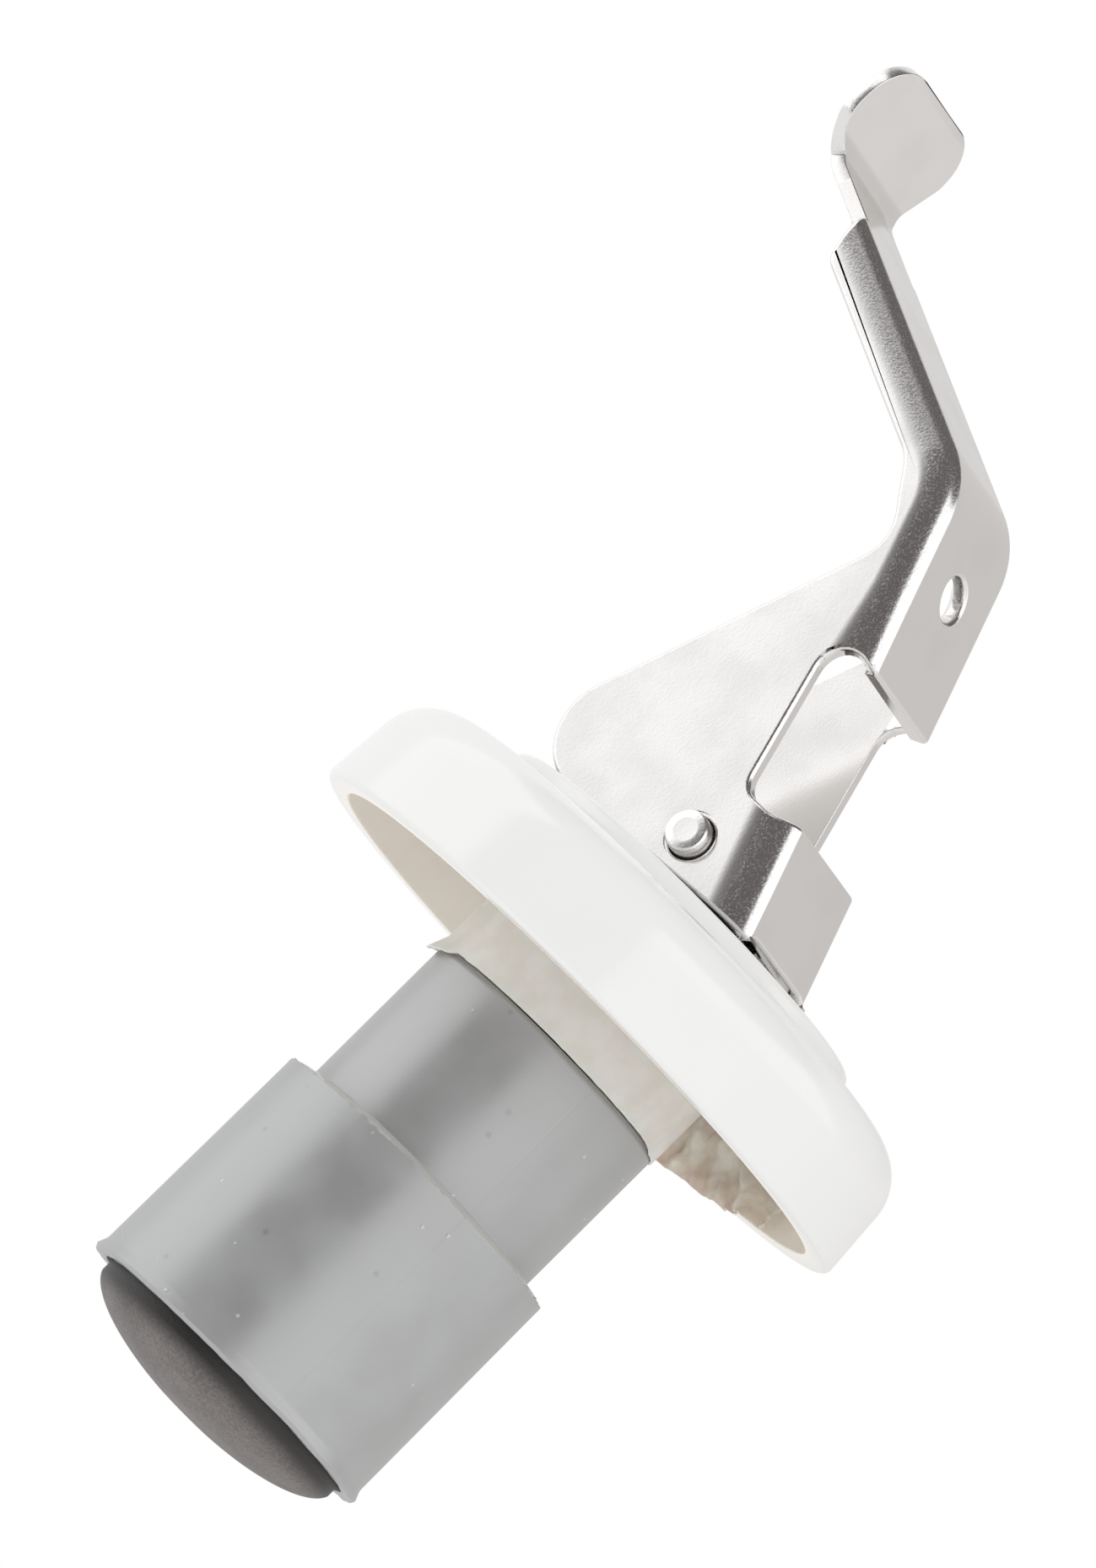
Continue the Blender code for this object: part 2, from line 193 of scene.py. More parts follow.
def resampled(outline, longest):
    """The closed outline with no side longer than a limit."""
    points = []
    for i, (a, b) in enumerate(outline):
        c, d = outline[(i + 1) % len(outline)]
        pieces = max(1, math.ceil(math.hypot(c - a, d - b) / longest))
        for k in range(pieces):
            share = k / pieces
            points.append((a + (c - a) * share, b + (d - b) * share))
    return points


def even_angles(count):
    return [2 * math.pi * k / count for k in range(count)]


def lathe(outline, angles, shaped=None):
    """A closed outline of (radius, z) turned about Z.

    shaped(radius, z, angle) may return a changed (radius, z).
    """
    bm = bmesh.new()
    rings = []
    steps = len(angles)
    for radius, z in outline:
        if radius < 1e-6:
            rings.append([bm.verts.new((0, 0, z * MM))] * steps)
            continue
        ring = []
        for angle in angles:
            r, h = shaped(radius, z, angle) if shaped else (radius, z)
            spot = (r * math.cos(angle), r * math.sin(angle), h)
            ring.append(bm.verts.new([c * MM for c in spot]))
        rings.append(ring)
    for i, ring in enumerate(rings):
        other = rings[(i + 1) % len(rings)]
        for k in range(steps):
            j = (k + 1) % steps
            loop = list(dict.fromkeys((ring[k], ring[j], other[j], other[k])))
            if len(loop) > 2:
                bm.faces.new(loop)
    bmesh.ops.recalc_face_normals(bm, faces=bm.faces)
    return bm


def bar(outline, low, high, place):
    """An outline of (a, b) extruded between two depths; place gives xyz."""
    bm = bmesh.new()
    near = [bm.verts.new(place(a, b, low)) for a, b in outline]
    far = [bm.verts.new(place(a, b, high)) for a, b in outline]
    bm.faces.new(near)
    bm.faces.new(far)
    for i in range(len(outline)):
        j = (i + 1) % len(outline)
        bm.faces.new((near[i], near[j], far[j], far[i]))
    bmesh.ops.recalc_face_normals(bm, faces=bm.faces)
    return bm


def along_y(a, b, depth):
    return (a * MM, depth * MM, b * MM)


def along_z(a, b, depth):
    return (a * MM, b * MM, depth * MM)


def along_x(a, b, depth):
    return (depth * MM, a * MM, b * MM)


def circle(radius, centre, steps=48):
    return [
        (centre[0] + radius * math.cos(angle), centre[1] + radius * math.sin(angle))
        for angle in even_angles(steps)
    ]


def on_line(distance, angle, along):
    """The point at a distance from the pin, and along the line there."""
    return (
        distance * math.cos(angle) - along * math.sin(angle),
        distance * math.sin(angle) + along * math.cos(angle),
    )


def crossing(first, second):
    """Where two lines, each (distance from pin, angle of normal), meet."""
    (d1, a1), (d2, a2) = first, second
    span = math.sin(a2 - a1)
    return (
        (d1 * math.sin(a2) - d2 * math.sin(a1)) / span,
        (d2 * math.cos(a1) - d1 * math.cos(a2)) / span,
    )


# ------------------------------------------------------------ mesh helpers

def make_object(name, bm):
    mesh = bpy.data.meshes.new(name)
    bm.to_mesh(mesh)
    bm.free()
    obj = bpy.data.objects.new(name, mesh)
    bpy.context.scene.collection.objects.link(obj)
    return obj


def cut(obj, bm, operation="DIFFERENCE"):
    """Adds a Boolean with a tool shape to the object."""
    tool = make_object(obj.name + "_tool", bm)
    tool.hide_render = True
    modifier = obj.modifiers.new("cut", "BOOLEAN")
    modifier.operation = operation
    modifier.solver = "EXACT"
    modifier.object = tool


def settle(obj):
    """Applies the object's modifiers and removes their tool objects."""
    tools = [m.object for m in obj.modifiers if m.type == "BOOLEAN"]
    graph = bpy.context.evaluated_depsgraph_get()
    mesh = bpy.data.meshes.new_from_object(obj.evaluated_get(graph))
    obj.modifiers.clear()
    obj.data = mesh
    for tool in tools:
        bpy.data.objects.remove(tool)


def soften(obj, width, segments=2, angle=50):
    modifier = obj.modifiers.new("edges", "BEVEL")
    modifier.width = width * MM
    modifier.segments = segments
    modifier.limit_method = "ANGLE"
    modifier.angle_limit = math.radians(angle)
    modifier.use_clamp_overlap = False
    modifier.harden_normals = False


def shade(obj, angle=35):
    obj.data.shade_smooth()
    obj.data.set_sharp_from_angle(angle=math.radians(angle))


def weigh_normals(obj):
    modifier = obj.modifiers.new("normals", "WEIGHTED_NORMAL")
    modifier.keep_sharp = True
    modifier.weight = 80


def finish_piece(obj, material, body, node):
    """Gives a piece its material and body, in place of a CAD node, which it hides."""
    obj.data.materials.clear()
    obj.data.materials.append(material)
    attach(obj, body)
    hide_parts(node)


# --------------------------------------------------------------- materials

class Nodes:
    """Short names for building one shader tree."""

    def __init__(self, tree):
        self.tree = tree

    def add(self, kind, **settings):
        node = self.tree.nodes.new(kind)
        for name, value in settings.items():
            setattr(node, name, value)
        return node

    def link(self, value, socket):
        if isinstance(value, bpy.types.NodeSocket):
            self.tree.links.new(value, socket)
        elif value is not None:
            socket.default_value = value

    def maths(self, operation, a, b=None, clamp=False):
        node = self.add("ShaderNodeMath", operation=operation, use_clamp=clamp)
        self.link(a, node.inputs[0])
        self.link(b, node.inputs[1])
        return node.outputs[0]

    def ramp(self, value, low, high, first=0.0, last=1.0):
        """Smooth step of a value from first, at low, to last, at high."""
        node = self.add("ShaderNodeMapRange", interpolation_type="SMOOTHSTEP")
        self.link(value, node.inputs["Value"])
        self.link(low, node.inputs["From Min"])
        self.link(high, node.inputs["From Max"])
        self.link(first, node.inputs["To Min"])
        self.link(last, node.inputs["To Max"])
        return node.outputs["Result"]

    def mix(self, share, first, second):
        node = self.add("ShaderNodeMix", data_type="RGBA")
        self.link(share, node.inputs[0])
        self.link(first, node.inputs[6])
        self.link(second, node.inputs[7])
        return node.outputs[2]

    def noise(self, place, scale, detail=3.0, roughness=0.5):
        """Noise with features of about 1 / scale metres."""
        node = self.add("ShaderNodeTexNoise")
        self.link(place, node.inputs["Vector"])
        node.inputs["Scale"].default_value = scale
        node.inputs["Detail"].default_value = detail
        node.inputs["Roughness"].default_value = roughness
        return node.outputs["Fac"]

    def specks(self, place, scale, reach, share):
        """Mask of scattered round specks, in about this share of cells."""
        cells = self.add("ShaderNodeTexVoronoi")
        self.link(place, cells.inputs["Vector"])
        cells.inputs["Scale"].default_value = scale
        near = self.ramp(cells.outputs["Distance"], reach, reach * 0.5)
        parts = self.add("ShaderNodeSeparateColor")
        self.link(cells.outputs["Color"], parts.inputs[0])
        kept = self.maths("LESS_THAN", parts.outputs[0], share)
        return self.maths("MULTIPLY", near, kept)

    def stretched(self, place, scale):
        node = self.add("ShaderNodeMapping")
        self.link(place, node.inputs["Vector"])
        node.inputs["Scale"].default_value = scale
        return node.outputs["Vector"]

    def bump(self, height, depth, before=None):
        """A bump whose full height is depth, in metres."""
        node = self.add("ShaderNodeBump")
        node.inputs["Strength"].default_value = 1.0
        node.inputs["Distance"].default_value = depth
        self.link(height, node.inputs["Height"])
        if before is not None:
            self.link(before, node.inputs["Normal"])
        return node.outputs["Normal"]


def new_material(name, **settings):
    """A material, its node builder, its shader and the place on the piece."""
    material = bpy.data.materials.new(name)
    material.use_nodes = True
    nodes = Nodes(material.node_tree)
    shader = material.node_tree.nodes["Principled BSDF"]
    for label, value in settings.items():
        shader.inputs[label.replace("_", " ")].default_value = value
    place = nodes.add("ShaderNodeTexCoord").outputs["Object"]
    return material, nodes, shader, place


def steel_material(name, tone, roughness, grain):
    material, nodes, shader, place = new_material(name, Metallic=1.0)
    fine = nodes.noise(place, 7000, 3)
    broad = nodes.noise(place, 260, 3)
    darker = [c * 0.955 for c in tone[:3]] + [1.0]
    worn = nodes.ramp(broad, 0.3, 0.62)
    nodes.link(nodes.mix(worn, darker, tone), shader.inputs["Base Color"])
    facing = nodes.add("ShaderNodeSeparateXYZ")
    nodes.link(nodes.add("ShaderNodeTexCoord").outputs["Normal"], facing.inputs[0])
    sideways = nodes.maths("ABSOLUTE", facing.outputs["Y"])
    bent = nodes.maths("MULTIPLY", nodes.ramp(sideways, 0.05, 0.3),
                       nodes.ramp(sideways, 0.9999, 0.985))
    grained = nodes.maths("MULTIPLY", fine, nodes.ramp(bent, 0, 1, 0.3, 1.0))
    nodes.link(nodes.bump(grained, grain), shader.inputs["Normal"])
    scratch = nodes.noise(nodes.stretched(place, (13000, 13000, 7000)), 1, 3, 0.6)
    matt = nodes.maths("MULTIPLY", bent, nodes.ramp(scratch, 0.48, 0.66))
    base = nodes.ramp(broad, 0.3, 0.7, roughness + 0.03, roughness)
    rough = nodes.add("ShaderNodeMix")
    nodes.link(matt, rough.inputs[0])
    nodes.link(base, rough.inputs[2])
    rough.inputs[3].default_value = 0.40
    nodes.link(rough.outputs[0], shader.inputs["Roughness"])
    return material


def white_plastic_material():
    """Glossy white moulding, with painted warm bounce light and a faint painted glow in
    its cavity.
    """
    material, nodes, shader, place = new_material(
        "white_moulding", Roughness=0.16, Specular_IOR_Level=0.55,
    )
    parts = nodes.add("ShaderNodeSeparateXYZ")
    nodes.link(place, parts.inputs[0])
    square = nodes.maths("MULTIPLY", parts.outputs["X"], parts.outputs["X"])
    across = nodes.maths("MULTIPLY_ADD", parts.outputs["Y"], parts.outputs["Y"])
    nodes.link(square, across.node.inputs[2])
    radius = nodes.maths("SQRT", across)
    inside = nodes.ramp(radius, 17.9 * MM, 16.6 * MM)
    below = nodes.ramp(parts.outputs["Z"], (CAP_CEILING_Z + 0.3) * MM,
                       (CAP_CEILING_Z + 0.1) * MM)
    painted_bounce = nodes.maths("MULTIPLY", inside, below)
    clouds = nodes.noise(place, 180, 2)
    pale = nodes.mix(clouds, (0.855, 0.855, 0.845, 1), (0.88, 0.88, 0.872, 1))
    # Painted bounce light: the cavity's inside is tinted warm beige.
    tone = nodes.mix(painted_bounce, pale, (0.90, 0.85, 0.775, 1))
    nodes.link(tone, shader.inputs["Base Color"])
    # Painted glow: the cavity emits a little warm light, though it is no lamp.
    shader.inputs["Emission Color"].default_value = (1.0, 0.86, 0.70, 1)
    nodes.link(nodes.maths("MULTIPLY", painted_bounce, 0.045), shader.inputs["Emission Strength"])
    waves = nodes.bump(nodes.noise(place, 130, 2), 0.03 * MM)
    nodes.link(nodes.bump(nodes.noise(place, 4000, 2), 0.0004 * MM, waves),
               shader.inputs["Normal"])
    return material


def milky_material(name, clear, first, last, painted_glow):
    """Cloudy soft plastic that lets some light through, with a faint painted glow."""
    material, nodes, shader, place = new_material(
        name, Roughness=0.3, Transmission_Weight=clear, IOR=1.4,
        Subsurface_Weight=0.25, Subsurface_Scale=0.8 * MM,
    )
    clouds = nodes.noise(place, 600, 4)
    tone = nodes.mix(nodes.ramp(clouds, 0.35, 0.65), first, last)
    nodes.link(tone, shader.inputs["Base Color"])
    # Painted glow: the plastic emits its own tone, standing in for light let through.
    nodes.link(tone, shader.inputs["Emission Color"])
    shader.inputs["Emission Strength"].default_value = painted_glow
    ripples = nodes.bump(nodes.noise(place, 900, 3), 0.02 * MM)
    nodes.link(ripples, shader.inputs["Normal"])
    return material


def rubber_material():
    """Grey moulded rubber with handling marks, and painted light where it faces up."""
    material, nodes, shader, place = new_material(
        "grey_rubber", Roughness=0.34, IOR=2.7,
    )
    clouds = nodes.noise(place, 260, 3)
    fine = nodes.noise(place, 7000, 3)
    tone = nodes.mix(nodes.ramp(clouds, 0.3, 0.7), (0.275, 0.28, 0.278, 1),
                     (0.31, 0.315, 0.318, 1))
    dust = nodes.specks(place, 1100, 0.16, 0.17)
    tone = nodes.mix(nodes.maths("MULTIPLY", dust, 0.55), tone, (0.62, 0.61, 0.6, 1))
    pits = nodes.specks(place, 620, 0.14, 0.09)
    tone = nodes.mix(nodes.maths("MULTIPLY", pits, 0.45), tone, (0.13, 0.13, 0.13, 1))
    scuffs = nodes.noise(nodes.stretched(place, (1500, 1500, 180)), 1, 4, 0.7)
    scuffed = nodes.ramp(scuffs, 0.66, 0.8, 0.0, 0.35)
    tone = nodes.mix(scuffed, tone, (0.43, 0.43, 0.42, 1))
    facing = nodes.add("ShaderNodeSeparateXYZ")
    nodes.link(nodes.add("ShaderNodeTexCoord").outputs["Normal"], facing.inputs[0])
    # Painted light: faces turned upwards, such as the step's ledge, are made paler.
    painted_top_light = nodes.ramp(facing.outputs["Z"], 0.55, 0.8)
    tone = nodes.mix(painted_top_light, tone, (0.56, 0.555, 0.54, 1))
    nodes.link(tone, shader.inputs["Base Color"])
    rough = nodes.ramp(clouds, 0.3, 0.7, 0.30, 0.40)
    nodes.link(rough, shader.inputs["Roughness"])
    relief = nodes.bump(fine, 0.004 * MM)
    nodes.link(nodes.bump(dust, 0.02 * MM, relief), shader.inputs["Normal"])
    return material


def nylon_material():
    """Spark-textured dark moulding, with painted shade near its top under the sleeve's
    lip.
    """
    material, nodes, shader, place = new_material("dark_nylon", Roughness=0.5)
    grain = nodes.noise(place, 5200, 3, 0.7)
    clouds = nodes.noise(place, 500, 3)
    shared = nodes.maths("MULTIPLY_ADD", grain, 0.7)
    nodes.link(nodes.maths("MULTIPLY", clouds, 0.3), shared.node.inputs[2])
    tone = nodes.mix(nodes.ramp(shared, 0.35, 0.68), (0.09, 0.078, 0.074, 1),
                     (0.19, 0.168, 0.160, 1))
    parts = nodes.add("ShaderNodeSeparateXYZ")
    nodes.link(place, parts.inputs[0])
    # Painted shade: the foot goes near black towards its top, where the sleeve's lip
    # overhangs it.
    above = nodes.ramp(parts.outputs["Z"], 1.1 * MM, 2.2 * MM)
    tone = nodes.mix(above, tone, (0.022, 0.019, 0.018, 1))
    nodes.link(tone, shader.inputs["Base Color"])
    nodes.link(nodes.bump(grain, 0.03 * MM), shader.inputs["Normal"])
    return material


# ------------------------------------------------------------------ pieces

def shank_section(gap):
    half_x, half_y = SHANK_X / 2 + gap, SHANK_Y / 2 + gap
    radius = SHANK_EDGE + gap
    return rounded([
        (half_x, half_y, radius),
        (-half_x, half_y, radius),
        (-half_x, -half_y, radius),
        (half_x, -half_y, radius),
    ])


def cam_centre():
    """Centre of the cheeks' rolling corner, measured from the pin."""
    back = (BACK_LINE[0] - CAM_R, BACK_LINE[1])
    base = (BASE_LINE[0] + CAM_R, BASE_LINE[1])
    return crossing(back, base)


def cam_floor(x):
    """Lowest height that the cheeks' corner reaches at x during a fold."""
    cam_x, cam_z = cam_centre()
    reach = math.hypot(cam_x, cam_z)
    start = math.atan2(cam_z, cam_x)
    radius = CAM_R + CAM_GAP
    lowest = BOSS_Z + 1.0
    for k in range(221):
        share = k / 220
        angle = start + FOLD_MAX * share
        centre_x = reach * math.cos(angle)
        centre_z = PIN_Z + LIFT_MAX * share + reach * math.sin(angle)
        if abs(x - centre_x) < radius:
            drop = math.sqrt(radius ** 2 - (x - centre_x) ** 2)
            lowest = min(lowest, centre_z - drop)
    return lowest


def cam_track(side):
    """Room above one cam track: its floor follows the rolling corner."""
    first, last, steps = -11.2, 4.8, 64
    floor = []
    for k in range(steps + 1):
        x = first + (last - first) * k / steps
        floor.append((x, cam_floor(x)))
    inside = [(x, z) for x, z in floor if z < BOSS_Z - 0.02]
    top = BOSS_Z + 1.0
    start, end = inside[0][0], inside[-1][0]
    outline = [(start - CAM_GAP, top), *inside, (end + CAM_GAP, top)]
    low, high = sorted((side * TRACK_IN, side * TRACK_OUT))
    return bar(outline, low, high, along_y)


def make_cap():
    outline = rounded([
        (CAP_RIM_INNER_R, RIM_Z, 0.1),
        (CAP_RIM_R, RIM_Z, 0.4),
        (CAP_SHOULDER_R, CAP_FLANGE_EDGE_Z, CAP_SHOULDER_ROUND),
        (BOSS_R + 0.5, CAP_FLANGE_Z, 0.5),
        (BOSS_R, BOSS_Z, 0.6),
        (0.0, BOSS_Z, 0),
        (0.0, CAP_CEILING_Z, 0),
        (CAP_CEILING_R, CAP_CEILING_Z, 0.8),
    ])
    cap = make_object("cap_shell", lathe(outline, even_angles(256)))
    slot = shank_section(SLOT_GAP)
    cut(cap, bar(slot, CAP_CEILING_Z - 2, BOSS_Z + 2, along_z))
    for side in (-1, 1):
        cut(cap, cam_track(side))
    settle(cap)
    soften(cap, 0.12, angle=55)
    shade(cap, 40)
    weigh_normals(cap)
    finish_piece(cap, white_plastic_material(), "stopper", "cap")


def ragged(angle, seed, scale=3.0):
    """Uneven height of a moulded flash round a ring, from -1 to 1."""
    spot = Vector((math.cos(angle), math.sin(angle), seed)) * scale
    return noise.fractal(spot, 0.9, 2.0, 4, noise_basis="PERLIN_ORIGINAL")


def view_angle(across, radius):
    """Angle round Z of the near point this far across in the main view."""
    return CAMERA_AZIMUTH - math.pi / 2 + math.asin(across / radius)


def closeness(angle, centre, width):
    """One at an angle, falling to zero this width away."""
    away = abs((angle - centre + math.pi) % (2 * math.pi) - math.pi)
    return max(0.0, 1 - away / width)


def shaped_insert(radius, z, angle):
    """Thin flash that hangs from the collar's end, thickest at one side."""
    if z > COLLAR_END_Z + FLASH_HEIGHT or radius < SLEEVE_NECK_R - 0.5:
        return radius, z
    blob = closeness(angle, view_angle(BLOB_X, COLLAR_R), 0.38) ** 0.5
    tail = closeness(angle, view_angle(TAIL_X, COLLAR_R), 0.5)
    drop = 0.02 + 0.05 * ragged(angle, 1.0, 6.0) + 0.4 * blob + 0.25 * tail
    share = (COLLAR_END_Z + FLASH_HEIGHT - z) / FLASH_HEIGHT
    out = 0.03 * ragged(angle, 5.0, 9.0) + 0.3 * blob
    return radius + max(-0.03, out) * share, z - max(0.02, drop) * share


def make_insert():
    outline = rounded([
        (BORE_R, SEAL_TOP_Z, 0.1),
        (BORE_R, COLLAR_END_Z, 0),
        (SLEEVE_NECK_R - 0.1, COLLAR_END_Z, 0),
        (SLEEVE_NECK_R + 0.03, COLLAR_END_Z - 0.25, 0.05),
        (COLLAR_R + 0.03, COLLAR_END_Z - 0.2, 0.06),
        (COLLAR_R, LIP_SEAT_Z, 0.35),
        (SEAL_R, LIP_SEAT_Z, 0.25),
        (SEAL_R, SEAL_TOP_Z, 0.25),
    ])
    fine = resampled(outline, 0.6)
    insert = make_object("seal_insert", lathe(fine, even_angles(300), shaped_insert))
    shade(insert, 60)
    milky = milky_material("milky_plastic", 0.25, (0.85, 0.82, 0.77, 1),
                           (0.91, 0.89, 0.85, 1), 0.03)
    finish_piece(insert, milky, "stopper", "seal_collar")


def crumple(spot, gain, spacing):
    return noise.fractal(spot, gain, spacing, 3, noise_basis="PERLIN_ORIGINAL")


def film_point(across, down):
    """A point of the crumpled scrap, from -1 to 1 across and 0 to 1 down."""
    angle = CAMERA_AZIMUTH + FILM_TURN + FILM_SPREAD * across
    hang = 0.5 + 0.45 * across
    spot = Vector((across * 3.1, down * 1.3, 0.4))
    fold = crumple(spot, 0.8, 2.0)
    crease = crumple(spot * 2.6, 0.7, 2.2)
    radius = FILM_R + 0.8 * fold + 0.22 * crease + 0.3 * down
    z = RIM_Z + FILM_HEIGHT - down * (FILM_HEIGHT + hang) + 0.05 * crease
    return [c * MM for c in (radius * math.cos(angle), radius * math.sin(angle), z)]


def make_film():
    """Crumpled scrap of clear liner caught between the collar and the rim."""
    columns, rows = 90, 22
    bm = bmesh.new()
    grid = [
        [bm.verts.new(film_point(2 * i / columns - 1, j / rows))
         for j in range(rows + 1)]
        for i in range(columns + 1)
    ]
    for a, b in zip(grid, grid[1:]):
        for j in range(rows):
            bm.faces.new((a[j], a[j + 1], b[j + 1], b[j]))
    bmesh.ops.recalc_face_normals(bm, faces=bm.faces)
    film = make_object("liner_film", bm)
    sheet = film.modifiers.new("sheet", "SOLIDIFY")
    sheet.thickness = FILM_SHEET * MM
    settle(film)
    shade(film, 60)
    cloudy = milky_material("liner_film", 0.4, (0.66, 0.58, 0.50, 1),
                            (0.86, 0.81, 0.73, 1), 0.04)
    film.data.materials.append(cloudy)
    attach(film, "stopper")


def sleeve_angles():
    """Angles round the sleeve, closer together at its parting lines."""
    angles = even_angles(300)
    for turn in (0, math.pi):
        for radius in (SLEEVE_NECK_R, SLEEVE_STEP_R):
            centre = view_angle(PARTING_X, radius) + turn
            angles += [centre + PARTING_WIDTH / 2 * k for k in range(-4, 5)]
    angles = sorted(a % (2 * math.pi) for a in angles)
    kept = [angles[0]]
    for angle in angles[1:]:
        if angle - kept[-1] > 0.0012:
            kept.append(angle)
    return kept


def shaped_sleeve(radius, z, angle):
    """Parting ridge, flash on the step and the flared, uneven lip."""
    if radius < BORE_R + 1:
        return radius, z
    line_r = SLEEVE_NECK_R if z > SLEEVE_STEP_Z + 0.2 else SLEEVE_STEP_R
    for turn in (0, math.pi):
        centre = view_angle(PARTING_X, line_r) + turn
        away = (angle - centre + math.pi) % (2 * math.pi) - math.pi
        if abs(away) < PARTING_WIDTH and radius > SLEEVE_NECK_R - 0.3:
            radius += PARTING_RISE * (1 - abs(away) / PARTING_WIDTH)
    edge = max(0.0, 1 - abs(z - (SLEEVE_STEP_Z + 0.06)) / 0.08)
    if radius > SLEEVE_STEP_R - 0.35:
        radius += 0.05 * edge * (0.5 + ragged(angle, 2.0, 14.0))
        z += 0.16 * edge * (0.6 + ragged(angle, 3.0, 22.0))
    if z < SLEEVE_END_Z + 0.3 and radius > SLEEVE_POCKET_R - 0.1:
        z += 0.05 * ragged(angle, 4.0, 5.0)
    return radius, z


def make_sleeve():
    pocket_z = SLEEVE_END_Z + SLEEVE_POCKET_DEPTH
    outline = rounded([
        (BORE_R, SLEEVE_TOP_Z, 0),
        (BORE_R, pocket_z, 0),
        (SLEEVE_POCKET_R - 0.2, pocket_z, 0.3),
        (SLEEVE_POCKET_R, SLEEVE_END_Z + 0.02, 0.05),
        (SLEEVE_LIP_R - 0.12, SLEEVE_END_Z, 0.06),
        (SLEEVE_LIP_R, SLEEVE_END_Z + 0.22, 0.05),
        (SLEEVE_END_R, SLEEVE_END_Z + 0.75, 0.7),
        (SLEEVE_STEP_R, SLEEVE_STEP_Z + 0.05, 0.12),
        (SLEEVE_STEP_R - 0.3, SLEEVE_STEP_Z + 0.28, 0.3),
        (SLEEVE_NECK_R, SLEEVE_STEP_Z + 0.5, 0.12),
        (SLEEVE_NECK_R, SLEEVE_TOP_Z, 0.4),
    ], math.radians(12))
    fine = resampled(outline, 1.5)
    sleeve = make_object("sleeve_skin", lathe(fine, sleeve_angles(), shaped_sleeve))
    shade(sleeve, 50)
    finish_piece(sleeve, rubber_material(), "stopper", "rubber_sleeve")
    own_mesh(sleeve)


def dome_rise(radius):
    return DOME_H * (1 - math.sqrt(1 - (radius / DOME_R) ** 2))


def foot_outline():
    """Domed foot as (radius, z), its lowest part flat."""
    foot = [(0.0, FOOT_TOP_Z), (0.0, 0.0)]
    for k in range(41):
        radius = FOOT_FLAT_R + (FOOT_R - FOOT_FLAT_R) * math.sin(math.pi * k / 80)
        foot.append((radius, dome_rise(radius) - dome_rise(FOOT_FLAT_R)))
    return foot + rounded([
        (FOOT_R, FOOT_TOP_Z - 1.5, 0),
        (FOOT_R, FOOT_TOP_Z, 0.2),
        (FOOT_R - 2, FOOT_TOP_Z, 0),
    ])[1:-1]


def shank_bar():
    """Keyed shank with a round head, its four long edges rounded."""
    half = SHANK_X / 2
    outline = [(half, FOOT_TOP_Z - 2), (half, PIN_Z)]
    for k in range(1, 48):
        angle = math.pi * k / 48
        outline.append((half * math.cos(angle), PIN_Z + half * math.sin(angle)))
    outline += [(-half, PIN_Z), (-half, FOOT_TOP_Z - 2)]
    shank = bar(outline, -SHANK_Y / 2, SHANK_Y / 2, along_y)
    edges = [
        e for e in shank.edges
        if abs(e.verts[0].co.y - e.verts[1].co.y) < 1e-9
        and min(v.co.z for v in e.verts) > (FOOT_TOP_Z - 1.9) * MM
        or abs(e.verts[0].co.z - e.verts[1].co.z) > 5 * MM
    ]
    bmesh.ops.bevel(shank, geom=edges, offset=SHANK_EDGE * MM, segments=6,
                    profile=0.5, affect="EDGES", clamp_overlap=False)
    return shank


def make_plunger():
    plunger = make_object("foot_and_shank", lathe(foot_outline(), even_angles(200)))
    cut(plunger, shank_bar(), "UNION")
    eye = circle(PIN_R + EYE_GAP, (0, PIN_Z))
    cut(plunger, bar(eye, -SHANK_Y, SHANK_Y, along_y))
    settle(plunger)
    soften(plunger, 0.12, angle=60)
    shade(plunger, 40)
    weigh_normals(plunger)
    finish_piece(plunger, nylon_material(), "plunger", "plunger")


def make_pin():
    """Pin with softly struck, slightly dished ends."""
    half = PIN_LENGTH / 2
    outline = rounded([
        (0.0, half - 0.02, 0),
        (PIN_R * 0.6, half, 0.9),
        (PIN_R, half - 0.06, 0.2),
        (PIN_R, 0.06 - half, 0.2),
        (PIN_R * 0.6, -half, 0.9),
        (0.0, 0.02 - half, 0),
    ], math.radians(10))
    bm = lathe(outline, even_angles(72))
    bm.transform(Matrix.Rotation(math.radians(90), 4, "X"))
    bm.transform(Matrix.Translation((0, 0, PIN_Z * MM)))
    pin = make_object("pivot_pin_rod", bm)
    shade(pin, 60)
    steel = steel_material("pin_steel", (0.93, 0.92, 0.91, 1), 0.26, 0.008 * MM)
    finish_piece(pin, steel, "lever", "pivot_pin")


# ------------------------------------------------------------------- lever

def spine_x(z, distance=SPINE_DIST):
    """Where the spine's line, at a distance from the pin, is at a height."""
    return (distance - z * math.sin(SPINE_LEAN)) / math.cos(SPINE_LEAN)


def channel_outline():
    """The bent sheet's outer line, carried on past both of its ends."""
    low = -9.0
    end = on_line(ARM_DIST, ARM_NORMAL, ARM_END + 6)
    outline = rounded([
        (spine_x(low), low, 0),
        (*crossing((SPINE_DIST, SPINE_LEAN), (ARM_DIST, ARM_NORMAL)), KNEE_R),
        (*end, 0),
        (end[0], low, 0),
    ], math.radians(3))
    first, last = BEND_TAPER
    steps = 12
    heights = [first + (last - first) * k / steps for k in range(steps + 1)]
    heights = [z for z in heights if z < outline[1][1] - 0.05]
    return [outline[0], *((spine_x(z), z) for z in heights), *outline[1:]]


